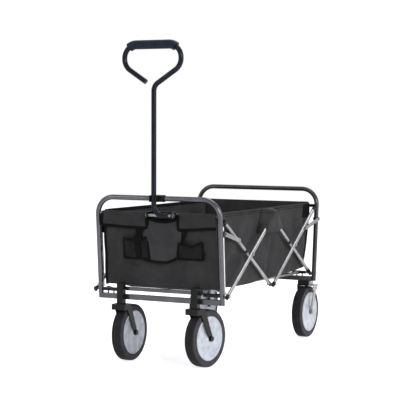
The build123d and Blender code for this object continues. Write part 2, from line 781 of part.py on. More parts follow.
with BuildPart() as handle_pin:
    with BuildSketch(across(ear_left, (handle_y, handle_pivot_height))):
        Circle(handle_pin_radius)
    extrude(amount=ear_right - ear_left)
    for head_x, outward in ((ear_left, -1), (ear_right, 1)):
        with BuildSketch(across(head_x, (handle_y, handle_pivot_height))):
            Circle(handle_pin_head_radius)
        extrude(amount=outward * bolt_head_height)
save(handle_pin, "handle_pin")

# handle: one bent tube, from its foot on the bolt up the pole and round an open loop
slope = tan(radians(loop_slope))
handle_plane = Plane(origin=(0, handle_y, 0), x_dir=(1, 0, 0), z_dir=(0, -1, 0))
with BuildPart() as handle_tube:
    with BuildLine(handle_plane) as handle_path:
        FilletPolyline(
            (handle_foot, handle_pivot_height),
            (0, handle_pivot_height),
            (0, loop_bend_height),
            (loop_right, loop_bend_height + loop_right * slope),
            (loop_right, grip_height),
            (-loop_left, grip_height),
            (-loop_left, loop_bend_height + loop_right * slope),
            (-loop_end_gap, loop_bend_height + loop_right * slope - (loop_left - loop_end_gap) * slope),
            radius=(handle_foot_bend, pole_bend, loop_bend, loop_bend, loop_bend, loop_bend),
        )
    with BuildSketch(handle_path.line ^ 0):
        Circle(tube_radius)
    sweep()
    with BuildSketch(across(handle_foot, (handle_y, handle_pivot_height))):
        Circle(handle_pin_radius + running_fit)
    extrude(amount=-2 * handle_foot, mode=Mode.SUBTRACT)
save(handle_tube, "handle_tube")

with BuildPart() as handle_grip:
    bend_height = grip_height - loop_bend
    with BuildLine(handle_plane) as grip_path:
        CenterArc((-loop_left + loop_bend, bend_height), loop_bend, 90 + grip_wrap, -grip_wrap)
        Line((-loop_left + loop_bend, grip_height), (loop_right - loop_bend, grip_height))
        CenterArc((loop_right - loop_bend, bend_height), loop_bend, 90, -grip_wrap)
    with BuildSketch(grip_path.line ^ 0):
        Circle(grip_radius)
        Circle(tube_radius, mode=Mode.SUBTRACT)
    sweep()
save(handle_grip, "handle_grip")

# clip on the front hoop's top bar, with two jaws beside the pole
bar_line = leg_centre("front", hoop_top)
clip_front = handle_y - tube_radius - clip_reach
with BuildPart() as clip:
    with BuildSketch(across(clip_left, (bar_line, hoop_top))):
        Circle(tube_radius + clip_wall)
        with Locations(((handle_y + tube_radius + clip_jaw_gap - bar_line) / 2, 0)):
            Rectangle(bar_line - handle_y - tube_radius - clip_jaw_gap, clip_height)
        Circle(tube_radius, mode=Mode.SUBTRACT)
    extrude(amount=clip_right - clip_left)
    for hand in (-1, 1):
        jaw_centre = hand * (tube_radius + clip_jaw_gap + clip_jaw / 2)
        with Locations((jaw_centre, (bar_line - tube_radius - clip_wall + clip_front) / 2, hoop_top)):
            Box(clip_jaw, bar_line - tube_radius - clip_wall - clip_front, clip_height)
save(clip, "handle_clip")
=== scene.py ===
import bmesh
import bpy
import json
import math
import numpy as np
from mathutils import Matrix, Vector


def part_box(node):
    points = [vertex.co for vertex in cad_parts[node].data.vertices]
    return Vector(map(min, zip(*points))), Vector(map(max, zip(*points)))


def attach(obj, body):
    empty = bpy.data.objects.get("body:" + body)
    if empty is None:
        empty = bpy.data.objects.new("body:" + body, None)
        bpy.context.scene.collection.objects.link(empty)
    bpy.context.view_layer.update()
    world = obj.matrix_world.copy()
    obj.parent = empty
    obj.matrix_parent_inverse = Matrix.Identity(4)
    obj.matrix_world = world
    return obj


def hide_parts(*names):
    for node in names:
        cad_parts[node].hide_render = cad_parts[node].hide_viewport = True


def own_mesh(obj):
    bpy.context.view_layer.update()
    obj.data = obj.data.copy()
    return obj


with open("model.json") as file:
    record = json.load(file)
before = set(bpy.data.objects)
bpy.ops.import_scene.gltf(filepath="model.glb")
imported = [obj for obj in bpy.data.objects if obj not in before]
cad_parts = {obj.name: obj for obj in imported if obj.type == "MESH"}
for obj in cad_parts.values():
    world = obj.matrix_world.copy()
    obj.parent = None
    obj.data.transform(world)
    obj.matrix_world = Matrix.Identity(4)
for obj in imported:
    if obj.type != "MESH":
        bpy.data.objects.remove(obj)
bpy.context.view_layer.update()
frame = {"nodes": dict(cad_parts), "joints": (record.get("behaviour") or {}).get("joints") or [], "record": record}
print("frame loaded:", len(frame["nodes"]), "nodes")

tubeRadius = 0.008
handSide = {"left": -1, "right": 1}

# each hoop's leg line, from its box: z and y of the bottom cut, then of the top bar's centre
legLine = {}
for end, sign in (("front", -1), ("rear", 1)):
    hoopLow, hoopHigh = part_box(end + "_hoop")
    bottomY = (hoopHigh.y if sign < 0 else hoopLow.y) + sign * tubeRadius
    topY = (hoopLow.y if sign < 0 else hoopHigh.y) - sign * tubeRadius
    legLine[end] = (hoopLow.z, bottomY, hoopHigh.z - tubeRadius, topY)


def legY(end, z):  # y on the straight line between a leg's bottom and top centres
    lowZ, lowY, highZ, highY = legLine[end]
    return lowY + (highY - lowY) * (z - lowZ) / (highZ - lowZ)


# colours and nodes

def hexColour(text):  # sRGB hex to linear: c/12.92 under 0.04045, else ((c+0.055)/1.055)^2.4
    values = [int(text[i:i + 2], 16) / 255 for i in (1, 3, 5)]
    return [c / 12.92 if c <= 0.04045 else ((c + 0.055) / 1.055) ** 2.4 for c in values] + [1.0]


def addNode(tree, kind, links=(), values=(), **settings):
    node = tree.nodes.new(kind)
    for key, value in settings.items():
        setattr(node, key, value)
    for socket, value in values:
        node.inputs[socket].default_value = value
    for socket, output in links:
        tree.links.new(output, node.inputs[socket])
    return node


def newMaterial(name, values):
    material = bpy.data.materials.new(name)
    material.use_nodes = True
    tree = material.node_tree
    shader = tree.nodes["Principled BSDF"]
    for socket, value in values:
        shader.inputs[socket].default_value = value
    return material, tree, shader


# sizes of the patterns in metres; stain is the blotches' size, peel and grain are the fine relief
pattern = {
    "coatStain": 0.05, "coatPeel": 0.0015, "steelStain": 0.03, "steelGrain": 1 / 600,
    "plasticStain": 0.02, "clothStain": 0.06,
}


# noise blotches of a real size between two colours
def mottled(tree, coordinate, size, dark, light, detail=3.0):
    noise = addNode(tree, "ShaderNodeTexNoise", [("Vector", coordinate)],
                    [("Scale", 1 / size), ("Detail", detail)])
    ramp = addNode(tree, "ShaderNodeValToRGB", [("Fac", noise.outputs["Fac"])])
    for number, position, colour in ((0, 0.35, dark), (1, 0.65, light)):
        ramp.color_ramp.elements[number].position = position
        ramp.color_ramp.elements[number].color = hexColour(colour)
    return ramp.outputs["Color"]


# powder-coated steel tube: satin, fine orange peel, a soft highlight along the tube
def powderCoat(name, dark, light, roughness, metallic, specular=0.4, coat=0.2):
    material, tree, shader = newMaterial(name, [
        ("Roughness", roughness), ("Metallic", metallic), ("Specular IOR Level", specular),
        ("Coat Weight", coat), ("Coat Roughness", 0.12)])
    place = addNode(tree, "ShaderNodeTexCoord").outputs["Object"]
    colour = mottled(tree, place, pattern["coatStain"], dark, light)
    peel = addNode(tree, "ShaderNodeTexNoise", [("Vector", place)],
                   [("Scale", 1 / pattern["coatPeel"]), ("Detail", 2.0)])
    bump = addNode(tree, "ShaderNodeBump", [("Height", peel.outputs["Fac"])],
                   [("Strength", 0.05), ("Distance", 0.0003)])
    tree.links.new(colour, shader.inputs["Base Color"])
    tree.links.new(bump.outputs["Normal"], shader.inputs["Normal"])
    return material


# bright drawn or zinc-plated steel: faint stains and a fine grain, drawn out where its scale is under 1
def brightSteel(name, dark, light, roughness, grainScale, metallic):
    material, tree, shader = newMaterial(name, [("Metallic", metallic)])
    place = addNode(tree, "ShaderNodeTexCoord").outputs["Object"]
    colour = mottled(tree, place, pattern["steelStain"], dark, light)
    stretch = addNode(tree, "ShaderNodeMapping", [("Vector", place)], [("Scale", grainScale)])
    grain = addNode(tree, "ShaderNodeTexNoise", [("Vector", stretch.outputs["Vector"])],
                    [("Scale", 1 / pattern["steelGrain"]), ("Detail", 2.0)])
    rough = addNode(tree, "ShaderNodeMapRange", [("Value", grain.outputs["Fac"])],
                    [("To Min", roughness - 0.03), ("To Max", roughness + 0.05)])
    bump = addNode(tree, "ShaderNodeBump", [("Height", grain.outputs["Fac"])],
                   [("Strength", 0.02), ("Distance", 0.0001)])
    tree.links.new(colour, shader.inputs["Base Color"])
    tree.links.new(rough.outputs["Result"], shader.inputs["Roughness"])
    tree.links.new(bump.outputs["Normal"], shader.inputs["Normal"])
    return material


# moulded nylon, polypropylene and foamed rubber: matt, with a fine spark-eroded or foamed grain
def mouldedPlastic(name, dark, light, roughness, grainSize, strength, specular=0.2):
    material, tree, shader = newMaterial(name, [("Roughness", roughness), ("Specular IOR Level", specular)])
    place = addNode(tree, "ShaderNodeTexCoord").outputs["Object"]
    colour = mottled(tree, place, pattern["plasticStain"], dark, light)
    grain = addNode(tree, "ShaderNodeTexNoise", [("Vector", place)],
                    [("Scale", 1 / grainSize), ("Detail", 3.0)])
    bump = addNode(tree, "ShaderNodeBump", [("Height", grain.outputs["Fac"])],
                   [("Strength", strength), ("Distance", grainSize / 2)])
    tree.links.new(colour, shader.inputs["Base Color"])
    tree.links.new(bump.outputs["Normal"], shader.inputs["Normal"])
    return material


# woven polyester: plain weave whose threads are drawn three times too coarse so that they show;
# a wave texture repeats every 0.314/scale metres, and two of them across each other give the weave
def wovenCloth(name, dark, light, thread, roughness, strength, sheen):
    material, tree, shader = newMaterial(name, [
        ("Roughness", roughness), ("Sheen Weight", sheen), ("Sheen Roughness", 0.4),
        ("Specular IOR Level", 0.12)])
    coordinate = addNode(tree, "ShaderNodeTexCoord")
    colour = mottled(tree, coordinate.outputs["Object"], pattern["clothStain"], dark, light, 4.0)
    warp, weft = [
        addNode(tree, "ShaderNodeTexWave", [("Vector", coordinate.outputs["UV"])],
                [("Scale", 0.314 / thread), ("Distortion", 0.4), ("Detail", 1.0), ("Detail Scale", 2.0)],
                bands_direction=direction).outputs["Fac"]
        for direction in ("X", "Y")]
    weave = addNode(tree, "ShaderNodeMath", [(0, warp), (1, weft)], operation="MULTIPLY")
    bump = addNode(tree, "ShaderNodeBump", [("Height", weave.outputs[0])],
                   [("Strength", strength), ("Distance", thread / 3)])
    tree.links.new(colour, shader.inputs["Base Color"])
    tree.links.new(bump.outputs["Normal"], shader.inputs["Normal"])
    return material


# lay a second mottled colour over a material's own, by a share from 0 to 1
def overColour(tree, place, share, dark, light):
    target = tree.nodes["Principled BSDF"].inputs["Base Color"]
    colour = mottled(tree, place, pattern["plasticStain"], dark, light)
    mix = addNode(tree, "ShaderNodeMix", [(0, share), (6, target.links[0].from_socket), (7, colour)],
                  data_type="RGBA")
    tree.links.new(mix.outputs[2], target)


gunmetal = powderCoat("gunmetalPowderCoat", "#49494d", "#545459", 0.25, 0.85)
handlePaint = powderCoat("blueBlackPowderCoat", "#0a0e17", "#111622", 0.24, 0.1, 0.16, 0.0)
# painted shade: a darker copy of the gunmetal coat, standing in for the shade and dark reflections on the rear
# hoop and rear tubes
shadedGunmetal = powderCoat("gunmetalPowderCoatPaintedShade", "#303033", "#3b3b3f", 0.24, 0.5, 0.3, 0.1)
blackPaint = powderCoat("blackEnamelOnSteel", "#0a0a0b", "#121213", 0.32, 0.0, 0.16, 0.0)
drawnSteel = brightSteel("drawnSteelBar", "#8a8a8c", "#9d9d9f", 0.30, (1.0, 1.0, 1.0), 0.65)
polishedRod = brightSteel("polishedSteelRod", "#c4c4c6", "#d4d4d6", 0.34, (1.0, 1.0, 1.0), 0.5)
zincPlate = brightSteel("zincPlatedStrap", "#79797b", "#929294", 0.4, (1.0, 0.2, 0.2), 0.9)
blackNylon = mouldedPlastic("mouldedBlackNylon", "#060607", "#0e0e0f", 0.45, 0.0012, 0.15)
gripFoam = mouldedPlastic("foamedRubberGrip", "#0b1320", "#131e2e", 0.5, 0.0025, 0.3, 0.16)
tyreRubber = mouldedPlastic("tyreTreadRubber", "#1e1e20", "#28282b", 0.65, 0.002, 0.35, 0.12)
wheelPlastic = mouldedPlastic("paleWheelPolypropylene", "#a3a7b2", "#bfc3cc", 0.35, 0.004, 0.12, 0.5)
basketCloth = wovenCloth("wovenPolyester", "#29292a", "#333334", 0.0018, 0.8, 0.35, 0.04)
flapCloth = wovenCloth("wovenPolyesterFlap", "#303031", "#3a3a3b", 0.0018, 0.8, 0.35, 0.05)
pocketMesh = wovenCloth("wovenPocketNet", "#111112", "#1a1a1b", 0.003, 0.85, 0.8, 0.03)
bindingTape = wovenCloth("wovenBindingTape", "#030303", "#080808", 0.0024, 0.9, 0.4, 0.0)

# painted reflection: the rear forks have black crowns and inner blades, and their outer blades get a pale zinc
# colour in place of the reflection on them; the zinc starts at a distance from the cart's middle
rearForkReflection = {"bladeFrom": 0.2190, "blend": 0.0004, "metallic": 0.8, "dark": "#7d7d7f", "light": "#98989a"}


def zincBladesPaintedReflection(material, d):
    tree = material.node_tree
    place = addNode(tree, "ShaderNodeTexCoord").outputs["Object"]
    split = addNode(tree, "ShaderNodeSeparateXYZ", [("Vector", place)])
    away = addNode(tree, "ShaderNodeMath", [(0, split.outputs["X"])], operation="ABSOLUTE")
    share = addNode(tree, "ShaderNodeMapRange", [("Value", away.outputs[0])],
                    [("From Min", d["bladeFrom"]), ("From Max", d["bladeFrom"] + d["blend"])])
    overColour(tree, place, share.outputs["Result"], d["dark"], d["light"])
    metal = addNode(tree, "ShaderNodeMath", [(0, share.outputs["Result"])], [(1, d["metallic"])],
                    operation="MULTIPLY")
    tree.links.new(metal.outputs[0], tree.nodes["Principled BSDF"].inputs["Metallic"])


# painted reflection: black fork enamel whose outer blades are pale zinc
rearForkPaintedReflection = powderCoat("blackForkPaintedReflectionBlades", "#0a0a0b", "#121213", 0.32, 0.0, 0.16, 0.0)
zincBladesPaintedReflection(rearForkPaintedReflection, rearForkReflection)

slotFinishes = {
    "satin_gunmetal_tube": gunmetal,
    "black_plastic": blackNylon,
    "black_painted_steel": blackPaint,
    "bright_steel_bar": drawnSteel,
    "zinc_strap": zincPlate,
    "dark_handle_tube": handlePaint,
    "soft_grip": gripFoam,
    "grey_fabric": basketCloth,
    "black_webbing": bindingTape,
    "black_rubber_tyre": tyreRubber,
    "pale_wheel_plastic": wheelPlastic,
}
nodeFinishes = {  # nodes that look different from their slot
    # painted reflection: the rear forks' outer blades are pale zinc in place of a reflection
    "rear_fork_left": rearForkPaintedReflection, "rear_fork_right": rearForkPaintedReflection,
    "front_floor_bars": zincPlate, "rear_floor_bars": zincPlate,
    # painted shade: the rear hoop and rear tubes take the darker copy of the gunmetal coat
    "rear_hoop": shadedGunmetal, "rear_lower_tube": shadedGunmetal, "rear_upper_tube": shadedGunmetal,
    "front_rods": polishedRod,
}
for part in frame["record"]["subparts"]:
    mesh = frame["nodes"][part["node"]].data
    mesh.materials.clear()
    mesh.materials.append(nodeFinishes.get(part["node"], slotFinishes[part["material_slot"]]))
print("finishes on the frame's nodes")


# surfaces on a grid

def stackPoints(x, y, z):  # three arrays that broadcast to one grid of points
    return np.stack(np.broadcast_arrays(x, y, z), -1)


def lineLength(line):  # sum of the steps between a line's points
    return float(np.linalg.norm(np.diff(line, axis=0), axis=1).sum())


# rows by columns of points; faces join neighbours, and wrap where a direction is closed.
# the UV map holds the lengths along the middle row and column, in metres
def gridPiece(name, points, material, body, closed=(False, False), thickness=0.0, flip=False):
    rows, columns = points.shape[:2]
    index = np.arange(rows * columns).reshape(rows, columns)
    a, d = (index, np.roll(index, -1, 0)) if closed[0] else (index[:-1], index[1:])
    if closed[1]:
        b, c = np.roll(a, -1, 1), np.roll(d, -1, 1)
    else:
        a, b, c, d = a[:, :-1], a[:, 1:], d[:, 1:], d[:, :-1]
    faces = np.stack([a, d, c, b] if flip else [a, b, c, d], -1).reshape(-1, 4)
    mesh = bpy.data.meshes.new(name)
    mesh.from_pydata(points.reshape(-1, 3).tolist(), [], faces.tolist())
    alongColumn = np.linalg.norm(np.diff(points[:, columns // 2], axis=0), axis=1)
    alongRow = np.linalg.norm(np.diff(points[rows // 2], axis=0), axis=1)
    u = np.concatenate([[0], np.cumsum(alongRow)])
    v = np.concatenate([[0], np.cumsum(alongColumn)])
    flat = np.stack(np.meshgrid(u, v), -1).reshape(-1, 2)
    layer = mesh.uv_layers.new(name="lengths")
    corners = np.zeros(len(mesh.loops), np.int32)
    mesh.loops.foreach_get("vertex_index", corners)
    layer.data.foreach_set("uv", flat[corners].ravel())
    mesh.polygons.foreach_set("use_smooth", np.full(len(mesh.polygons), True))
    mesh.materials.append(material)
    piece = bpy.data.objects.new(name, mesh)
    bpy.context.scene.collection.objects.link(piece)
    if thickness:
        wall = piece.modifiers.new("wall", "SOLIDIFY")
        wall.thickness = thickness
        wall.offset = 0.0
        wall.use_even_offset = False
    if body:
        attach(piece, body)
    return piece


# merge the points that meet at an end, and turn all faces outward
def closeEnds(piece):
    made = bmesh.new()
    made.from_mesh(piece.data)
    bmesh.ops.remove_doubles(made, verts=made.verts, dist=1e-6)
    bmesh.ops.dissolve_degenerate(made, edges=made.edges, dist=1e-7)
    bmesh.ops.recalc_face_normals(made, faces=made.faces)
    made.to_mesh(piece.data)
    made.free()


# a cloth trim: a rounded section carried along a path, each ring being
# centre + side*a*cos + up*b*sin, with cos and sin raised to 2/power; a high power squares it off
def sweepPiece(name, path, width, height, material, body, up=(0, 0, 1), steps=12, power=2.0):
    ahead = np.gradient(path, axis=0)
    ahead /= np.linalg.norm(ahead, axis=1)[:, None]
    side = np.cross(ahead, np.asarray(up, float))
    side /= np.linalg.norm(side, axis=1)[:, None]
    lift = np.cross(side, ahead)
    turn = np.linspace(0, 2 * np.pi, steps, endpoint=False)
    across = np.sign(np.cos(turn)) * np.abs(np.cos(turn)) ** (2 / power) * width / 2
    above = np.sign(np.sin(turn)) * np.abs(np.sin(turn)) ** (2 / power) * height / 2
    rings = path[:, None] + side[:, None] * across[None, :, None] + lift[:, None] * above[None, :, None]
    caps = [path[:1, None] + 0 * rings[:1], rings, path[-1:, None] + 0 * rings[-1:]]
    piece = gridPiece(name, np.concatenate(caps), material, None, closed=(False, True))
    closeEnds(piece)
    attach(piece, body)
    return piece


# the smooth curve through given points: a Catmull-Rom cubic between each pair
def throughPoints(points, perSpan=8):
    points = np.asarray(points, float)
    padded = np.vstack([2 * points[0] - points[1], points, 2 * points[-1] - points[-2]])
    t = np.linspace(0, 1, perSpan, endpoint=False)[:, None]
    spans = []
    for i in range(len(points) - 1):
        p0, p1, p2, p3 = padded[i:i + 4]
        spans.append(0.5 * (2 * p1 + (p2 - p0) * t + (2 * p0 - 5 * p1 + 4 * p2 - p3) * t ** 2
                            + (3 * p1 - p0 - 3 * p2 + p3) * t ** 3))
    return np.vstack(spans + [points[-1:]])


# creases: each is a line s0, z0 to s1, z1 on the cloth with a width and a depth;
# the push is depth * exp(-(distance/width)^2 / 2), fading at the line's ends
def creasePush(s, z, creases):
    push = np.zeros_like(s)
    for s0, z0, s1, z1, width, depth in creases:
        runS, runZ = s1 - s0, z1 - z0
        share = np.clip(((s - s0) * runS + (z - z0) * runZ) / (runS ** 2 + runZ ** 2), 0, 1)
        away = np.hypot(s - s0 - share * runS, z - z0 - share * runZ)
        fade = 0.35 + 0.65 * np.sin(np.pi * share) ** 0.8
        push += depth * fade * np.exp(-(away / width) ** 2 / 2)
    return push


# slow waves from four sines in both directions, their phases drawn from the seed; a piece gives its
# waves as height, length and seed
def clothWaves(s, z, height, length, seed):
    phases = np.random.default_rng(seed).uniform(0, 6.28, 8)
    waves = np.zeros_like(s)
    for i, (ks, kz) in enumerate(((1, 0.3), (0.6, 1.1), (1.7, 0.8), (0.4, 1.9))):
        waves += (np.sin(6.28 * ks * s / length + phases[i])
                  * np.cos(6.28 * kz * z / length + phases[i + 4]) / (1 + i))
    return height * waves


# the basket's front: cloth, bands over the rail, flap and pockets
railLow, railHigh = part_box("handle_rail")
panelLow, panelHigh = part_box("front_panel")
bracketLow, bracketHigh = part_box("handle_bracket")
clothThickness = 0.0012

frontCloth = {
    "left": panelLow.x + 0.0085, "right": panelHigh.x - 0.0025, "top": railLow.z - 0.004,
    "columns": 150, "rows": 90, "sag": 0.0036, "creaseDepth": 1.3, "waves": (0.0016, 0.13, 3),
    "foot": [(-0.200, 0.2462), (-0.165, 0.2458), (-0.132, 0.2482), (-0.105, 0.2508), (-0.084, 0.2488),
             (-0.057, 0.2436), (-0.036, 0.2466), (-0.006, 0.2434), (0.018, 0.2464), (0.045, 0.2426),
             (0.065, 0.2412), (0.105, 0.2430), (0.144, 0.2474), (0.200, 0.2466)],
    "creases": [
        (-0.190, 0.262, -0.125, 0.345, 0.010, -0.0050),
        (-0.190, 0.268, -0.150, 0.410, 0.012, 0.0032),
        (0.190, 0.262, 0.115, 0.330, 0.012, -0.0055),
        (0.150, 0.335, 0.155, 0.268, 0.010, 0.0045),
        (0.110, 0.330, 0.098, 0.272, 0.012, -0.0040),
        (-0.128, 0.322, -0.076, 0.312, 0.005, 0.0055),
        (-0.122, 0.300, -0.090, 0.286, 0.006, 0.0055),
        (0.030, 0.312, 0.052, 0.280, 0.007, 0.0060),
        (-0.060, 0.268, 0.130, 0.276, 0.010, 0.0030),
        (0.070, 0.300, 0.090, 0.335, 0.012, 0.0035),
        (-0.030, 0.300, 0.010, 0.262, 0.014, -0.0030),
    ],
}


# across x and up z in the hoop's plane, with a from -1 to 1 and t from 0 to 1:
# y = leg line + sag*(1-a^2)*sin(pi*t) + (creases + waves)*hold, and hold falls to 0 at the edges
def makeFrontCloth(d):
    foot = throughPoints(d["foot"], 12)
    gridX, t = np.meshgrid(np.linspace(d["left"], d["right"], d["columns"]), np.linspace(0, 1, d["rows"]))
    low = np.clip(np.interp(gridX, foot[:, 0], foot[:, 1]), panelLow.z + 0.0005, None)
    half = (d["right"] - d["left"]) / 2
    a = (gridX - (d["left"] + d["right"]) / 2) / half
    gridZ = low + t * (d["top"] - low)
    push = d["creaseDepth"] * creasePush(gridX, gridZ, d["creases"]) + clothWaves(gridX, gridZ, *d["waves"])
    hold = (1 - a ** 8) * np.sin(np.pi * t) ** 0.35
    y = legY("front", gridZ) + d["sag"] * (1 - a ** 2) * np.sin(np.pi * t) + push * hold
    points = stackPoints(gridX, np.clip(y, panelLow.y + 0.001, None), gridZ)
    piece = gridPiece("frontCloth", points, basketCloth, "root", thickness=clothThickness,
                      flip=True)
    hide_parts("front_panel", "front_pockets")
    return points[0]


frontFoot = makeFrontCloth(frontCloth)

bands = {
    "left": {"from": panelLow.x + 0.0075, "to": bracketLow.x - 0.013, "hem": (0.434, 0.429)},
    "right": {"from": bracketHigh.x + 0.008, "to": panelHigh.x - 0.0020, "hem": (0.427, 0.436)},
}
bandShape = {"clear": 0.0016, "bulge": 0.0035, "ripple": 0.0012, "tuck": 0.45, "backTuck": 0.4,
             "backDrop": 0.03, "tape": (0.0034, 0.0098)}


# the band hangs down the front, rolls over the rail and comes down behind: a U-shaped profile carried
# along x, whose front face bulges forward by sin(pi*drop), with slow swells along it
def makeBand(side, ends, d):
    x = np.linspace(ends["from"], ends["to"], 60)
    hem = np.interp(x, (ends["from"], ends["to"]), ends["hem"])
    railZ = (railLow.z + railHigh.z) / 2
    railY = (railLow.y + railHigh.y) / 2
    roll = (railHigh.z - railLow.z) / 2 + d["clear"]
    drop = np.linspace(1, 0, 26)[:, None]
    z = railZ - drop * (railZ - hem)
    bulge = (d["bulge"] * np.sin(np.pi * drop) * (1 + 0.5 * np.sin(x * 55 + 1.2))
             + d["ripple"] * np.sin(x * 90) * drop)
    face = stackPoints(x, legY("front", z) - roll * (1 - drop * d["tuck"]) - bulge, z)
    angle = np.linspace(0, np.pi, 14)[1:, None]
    over = stackPoints(x, railY - roll * np.cos(angle), railZ + roll * np.sin(angle))
    drop = np.linspace(0, 1, 10)[1:, None]
    z = railZ - drop * d["backDrop"]
    back = stackPoints(x, legY("front", z) + roll * (1 - d["backTuck"] * drop), z)
    points = np.concatenate([face, over, back])
    piece = gridPiece("topBand_" + side, points, basketCloth, "root", thickness=clothThickness)
    rim = face - np.array([0, clothThickness, 0])
    if side == "left":  # down the outer edge, along the hem and up the inner edge
        path = np.vstack([rim[::-1, 0], rim[0, 1:], rim[1:, -1]])
    else:  # along the hem and up the inner edge
        path = np.vstack([rim[0, :0:-1], rim[:, 0]])
    sweepPiece("bandBinding_" + side, path, *d["tape"], bindingTape, "root", up=(0.35, 0, 1),
               steps=10, power=4)


for side, ends in bands.items():
    makeBand(side, ends, bandShape)

flap = {
    "edges": [(0.325, -0.050, 0.058), (0.335, -0.052, 0.066), (0.350, -0.052, 0.074), (0.370, -0.053, 0.080),
              (0.392, -0.055, 0.084), (0.410, -0.055, 0.085), (0.428, -0.044, 0.079), (0.445, -0.035, 0.074),
              (0.468, -0.030, 0.070)],
    "foot": 0.3250, "footRise": {"left": 0.006, "right": 0.019}, "head": 0.463, "headDip": 0.011,
    "bulge": 0.010, "clear": 0.0035, "tape": {"foot": (0.0088, 0.0032), "head": (0.0115, 0.0030)},
    "creases": [
        (-0.045, 0.388, 0.075, 0.378, 0.005, 0.0045),
        (-0.030, 0.456, 0.020, 0.402, 0.012, 0.003),
        (0.070, 0.450, 0.030, 0.400, 0.012, 0.003),
        (-0.020, 0.372, -0.010, 0.345, 0.008, 0.0025),
        (0.035, 0.370, 0.050, 0.345, 0.010, -0.0025),
    ],
}


# rows run from the head down to a foot that rises at its corners; each row spans the edges at its height,
# and the flap swells forward as (1-s^4)*sin(height)^0.7
def makeFlap(d):
    edges = np.array(d["edges"])
    s = np.linspace(-1, 1, 72)[None]
    t = np.linspace(0, 1, 60)[:, None]
    top = d["head"] - d["headDip"] * (1 - s ** 2)
    foot = (d["foot"] + d["footRise"]["left"] * np.clip(-s - 0.2, 0, 1)
            + d["footRise"]["right"] * np.clip((s - 0.45) / 0.55, 0, 1) ** 1.6)
    gridZ = top + t * (foot - top)
    left = np.interp(gridZ, edges[:, 0], edges[:, 1])
    right = np.interp(gridZ, edges[:, 0], edges[:, 2])
    gridX = (left + right) / 2 + (right - left) / 2 * s
    swell = d["bulge"] * (1 - s ** 4) * np.sin(np.pi * (0.10 + 0.82 * t)) ** 0.7
    y = legY("front", gridZ) - d["clear"] - swell + creasePush(gridX, gridZ, d["creases"])
    points = stackPoints(gridX, np.clip(y, panelLow.y - 0.012, None), gridZ)
    piece = gridPiece("flap", points, flapCloth, "root", thickness=clothThickness)
    lift = np.array([0, -0.001, 0])
    footEdge = np.vstack([points[-10:-1, 0], points[-1], points[24:-1, -1][::-1]]) + lift
    headEdge = points[0, ::2] + 1.5 * lift
    for place, path in (("foot", footEdge), ("head", headEdge)):
        sweepPiece("flapBinding_" + place, path, *d["tape"][place], bindingTape, "root", up=(0, 1, 0),
                   steps=10, power=3)


makeFlap(flap)

pockets = {
    "left": {"x": (-0.120, -0.0345), "z": (0.334, 0.3990), "lean": 0.005, "depth": 0.0165},
    "right": {"x": (0.069, 0.151), "z": (0.339, 0.3895), "lean": 0.003, "depth": 0.0130},
}
pocketShape = {"thickness": 0.001, "clear": 0.0030, "mouthDip": 0.009, "pleat": 0.0022, "overFlap": 0.007,
               "tape": 0.0032}


# a net pocket: flat at its sides and foot, gaping at its mouth by (1-|s|^6)*t^0.7, with a mouth that dips
# in the middle; it lies further out where the flap is under it
def makePocket(side, own, d):
    (x0, x1), (z0, z1) = own["x"], own["z"]
    s = np.linspace(-1, 1, 56)[None]
    t = np.linspace(0, 1, 36)[:, None]
    gridX = (x0 + x1) / 2 + (x1 - x0) / 2 * s * (1 - 0.02 * t) + own["lean"] * (1 - t) * np.clip(s, 0, 1)
    mouth = z1 - d["mouthDip"] * (1 - np.abs(s) ** 3) - 0.002 * np.sin(5 * s)
    gridZ = z0 + t * (mouth - z0)
    swell = (own["depth"] * (1 - np.abs(s) ** 6) * t ** 0.7 * (0.85 + 0.15 * np.cos(4 * s + 2 * t))
             + d["pleat"] * np.sin(11 * s + 1.5 * t) * t * (1 - s ** 8))
    overFlap = d["overFlap"] * np.interp(gridX, (-0.060, -0.045, 0.060, 0.080), (0, 1, 1, 0))
    y = legY("front", gridZ) - d["clear"] - swell - overFlap * np.sin(np.pi * np.clip(t, 0.3, 0.8))
    points = stackPoints(gridX, np.clip(y, panelLow.y - 0.014, None), gridZ)
    piece = gridPiece("pocket_" + side, points, pocketMesh, "root", thickness=d["thickness"])
    lift = np.array([0, -0.0008, 0])
    edge = np.vstack([points[::-1, 0], points[0, 1:], points[1:, -1]]) + lift
    for place, path, width in (("Binding_", edge, 0.0095), ("Mouth_", points[-1] + lift, 0.0080)):
        sweepPiece("pocket" + place + side, path, width, d["tape"], bindingTape, "root", up=(0, 1, 0),
                   steps=10, power=3)


for side, own in pockets.items():
    makePocket(side, own, pocketShape)

straps = {  # points of x, z and the distance in front of the cloth
    "left": {"width": 0.022, "line": [(-0.066, 0.434, 0.001), (-0.066, 0.408, 0.006), (-0.066, 0.392, 0.0165),
                                      (-0.066, 0.365, 0.0130), (-0.066, 0.336, 0.003)]},
    "right": {"width": 0.010, "line": [(0.099, 0.431, 0.001), (0.093, 0.408, 0.004), (0.088, 0.388, 0.012)]},
}
strapShape = {"thickness": 0.0022, "clear": 0.003}
for side, d in straps.items():
    line = throughPoints(d["line"], 10)
    path = stackPoints(line[:, 0], legY("front", line[:, 1]) - strapShape["clear"] - line[:, 2], line[:, 1])
    sweepPiece("holdStrap_" + side, path, strapShape["thickness"], d["width"], bindingTape, "root",
               up=(1, 0, 0.001), power=5)

# the edges roll into a piping: black tape on the left, the cloth itself on the right
pipings = {
    "left": {"inset": 0.0040, "material": bindingTape},
    "right": {"inset": 0.0002, "material": basketCloth},
}
pipingShape = {"section": (0.0092, 0.0055), "wobble": 0.0008, "forward": 0.0005}
for side, d in pipings.items():
    z = np.linspace(frontCloth["foot"][0][1] - 0.001, railLow.z - 0.002, 60)
    path = stackPoints(frontCloth[side] + d["inset"] + pipingShape["wobble"] * np.sin(z * 60),
                       legY("front", z) - pipingShape["forward"], z)
    sweepPiece("frontPiping_" + side, path, *pipingShape["section"], d["material"], "root", up=(0, 1, 0),
               power=2.6)
print("front cloth, bands, flap and pockets")

